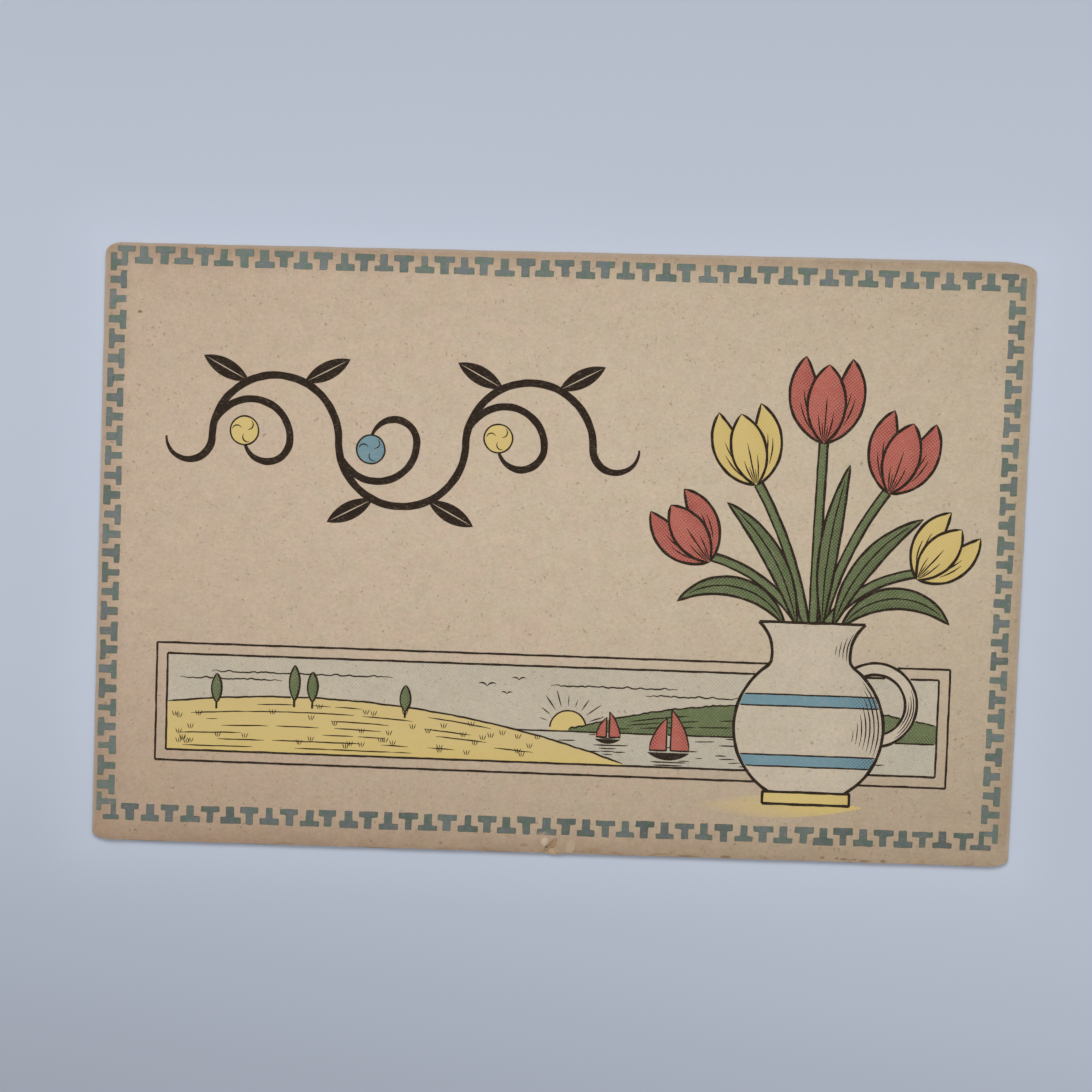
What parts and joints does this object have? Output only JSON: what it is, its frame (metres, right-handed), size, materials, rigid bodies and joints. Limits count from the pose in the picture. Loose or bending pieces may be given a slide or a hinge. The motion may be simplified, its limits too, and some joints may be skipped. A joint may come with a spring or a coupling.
{
  "type": "picture postcard",
  "caption": "Flat rectangular picture postcard of pasted board with worn corners, an interlocking T border and a printed picture on its face, and a divided back.",
  "frame": {"origin": "middle of the card, at its back face", "axes": "+X along the card's long side, to the right of the picture; +Y up the picture; +Z out of the picture side"},
  "size_m": [0.1374, 0.0888, 0.0004],
  "materials": {
    "face_paper": "matte",
    "core_paper": "matte",
    "back_paper": "matte",
    "buff_tint": "matte",
    "grey_tint": "matte",
    "teal_ink": "matte",
    "black_ink": "matte",
    "yellow_ink": "matte",
    "red_ink": "matte",
    "green_ink": "matte",
    "blue_ink": "matte",
    "back_ink": "matte"
  },
  "bodies": {
    "root": {"face_liner": "face_paper", "middle_ply": "core_paper", "back_liner": "back_paper", "buff_tint": "buff_tint", "grey_tint": "grey_tint", "border_ink": "teal_ink", "key_ink": "black_ink", "yellow_ink": "yellow_ink", "red_ink": "red_ink", "green_ink": "green_ink", "blue_ink": "blue_ink", "back_print": "back_ink"}
  },
  "joints": []
}
